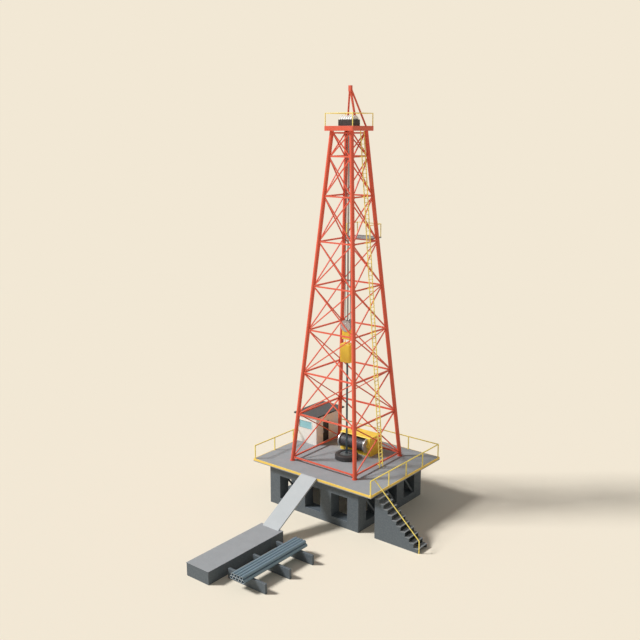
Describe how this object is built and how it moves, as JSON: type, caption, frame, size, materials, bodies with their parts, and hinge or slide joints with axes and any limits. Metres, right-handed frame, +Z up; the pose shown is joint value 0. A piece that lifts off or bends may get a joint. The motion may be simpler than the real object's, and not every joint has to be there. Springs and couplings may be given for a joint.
{
  "type": "oil drilling rig",
  "caption": "Land drilling rig: leaning lattice derrick on a raised floor with hoist, top drive, rotary table, drawworks, cabin, stairs, pipe ramp, catwalk and pipe rack.",
  "frame": {"origin": "well centre line at ground level", "axes": "+Z up; -Y towards the pipe ramp and catwalk; +X towards the stairs"},
  "size_m": [15.354, 21.12, 32.12],
  "materials": {
    "slate_steel": "satin, box frames",
    "floor_plate": "matt chequered plate",
    "edge_yellow": "satin",
    "rail_yellow": "satin",
    "ramp_steel": "worn",
    "catwalk_grey": "matt",
    "pipe_steel": "satin",
    "derrick_red": "satin",
    "block_dark": "satin",
    "bright_steel": "machined",
    "hoist_yellow": "gloss",
    "line_steel": "wire rope",
    "rotary_black": "satin",
    "drum_black": "satin",
    "cabin_white": "satin",
    "roof_grey": "matt",
    "door_dark": "matt",
    "window_glass": "tinted"
  },
  "bodies": {
    "rig": {"substructure_front": "slate_steel", "substructure_rear": "slate_steel", "substructure_right": "slate_steel", "substructure_left": "slate_steel", "rack_sleepers": "slate_steel", "stair_sides": "slate_steel", "drill_floor": "floor_plate", "stair_treads": "floor_plate", "monkey_board": "floor_plate", "floor_edge": "edge_yellow", "handrail_left": "rail_yellow", "handrail_rear": "rail_yellow", "handrail_right": "rail_yellow", "stair_handrail": "rail_yellow", "crown_handrail": "rail_yellow", "monkey_board_rail": "rail_yellow", "ladder": "rail_yellow", "pipe_ramp": "ramp_steel", "catwalk": "catwalk_grey", "pipes_lower": "pipe_steel", "pipes_upper": "pipe_steel", "derrick_legs": "derrick_red", "derrick_face_front": "derrick_red", "derrick_face_right": "derrick_red", "derrick_face_rear": "derrick_red", "derrick_face_left": "derrick_red", "crown_platform": "derrick_red", "gin_pole": "derrick_red", "crown_block_frame": "block_dark", "drawworks_housing": "hoist_yellow", "drilling_lines": "line_steel", "rotary_housing": "rotary_black", "cabin_shell": "cabin_white", "cabin_wall_front": "cabin_white", "cabin_wall_right": "cabin_white", "cabin_roof": "roof_grey", "cabin_window": "window_glass"},
    "hoist": {"travelling_block": "hoist_yellow", "top_drive": "hoist_yellow"},
    "block_sheave_set": {"block_sheaves": "bright_steel"},
    "string": {"drill_string": "pipe_steel"},
    "turntable": {"rotary_turntable": "bright_steel"},
    "drum": {"drawworks_drum": "drum_black"},
    "crown_sheave_set": {"crown_sheaves": "bright_steel"},
    "door": {"cabin_door": "door_dark"}
  },
  "joints": [
    {"name": "hoist_slide", "type": "slide", "parent": "rig", "child": "hoist", "axis": [0, 0, 1], "range_m": [-1, 12], "deforming": ["drilling_lines"]},
    {"name": "block_sheaves_turn", "type": "hinge", "parent": "hoist", "child": "block_sheave_set", "pos_m": [0, 0, 14.3], "axis": [0, 1, 0], "continuous": true},
    {"name": "string_turn", "type": "hinge", "parent": "hoist", "child": "string", "pos_m": [0, 0, 11], "axis": [0, 0, 1], "continuous": true},
    {"name": "rotary_turn", "type": "hinge", "parent": "rig", "child": "turntable", "pos_m": [0, 0, 3.8], "axis": [0, 0, 1], "continuous": true},
    {"name": "drum_turn", "type": "hinge", "parent": "rig", "child": "drum", "pos_m": [0, 1.3, 4.326], "axis": [1, 0, 0], "continuous": true},
    {"name": "crown_sheaves_turn", "type": "hinge", "parent": "rig", "child": "crown_sheave_set", "pos_m": [0, 0, 29.626], "axis": [1, 0, 0], "continuous": true},
    {"name": "cabin_door_swing", "type": "hinge", "parent": "rig", "child": "door", "pos_m": [-3.63, 2.24, 4.4], "axis": [0, 0, -1], "range_deg": [0, 100]}
  ]
}
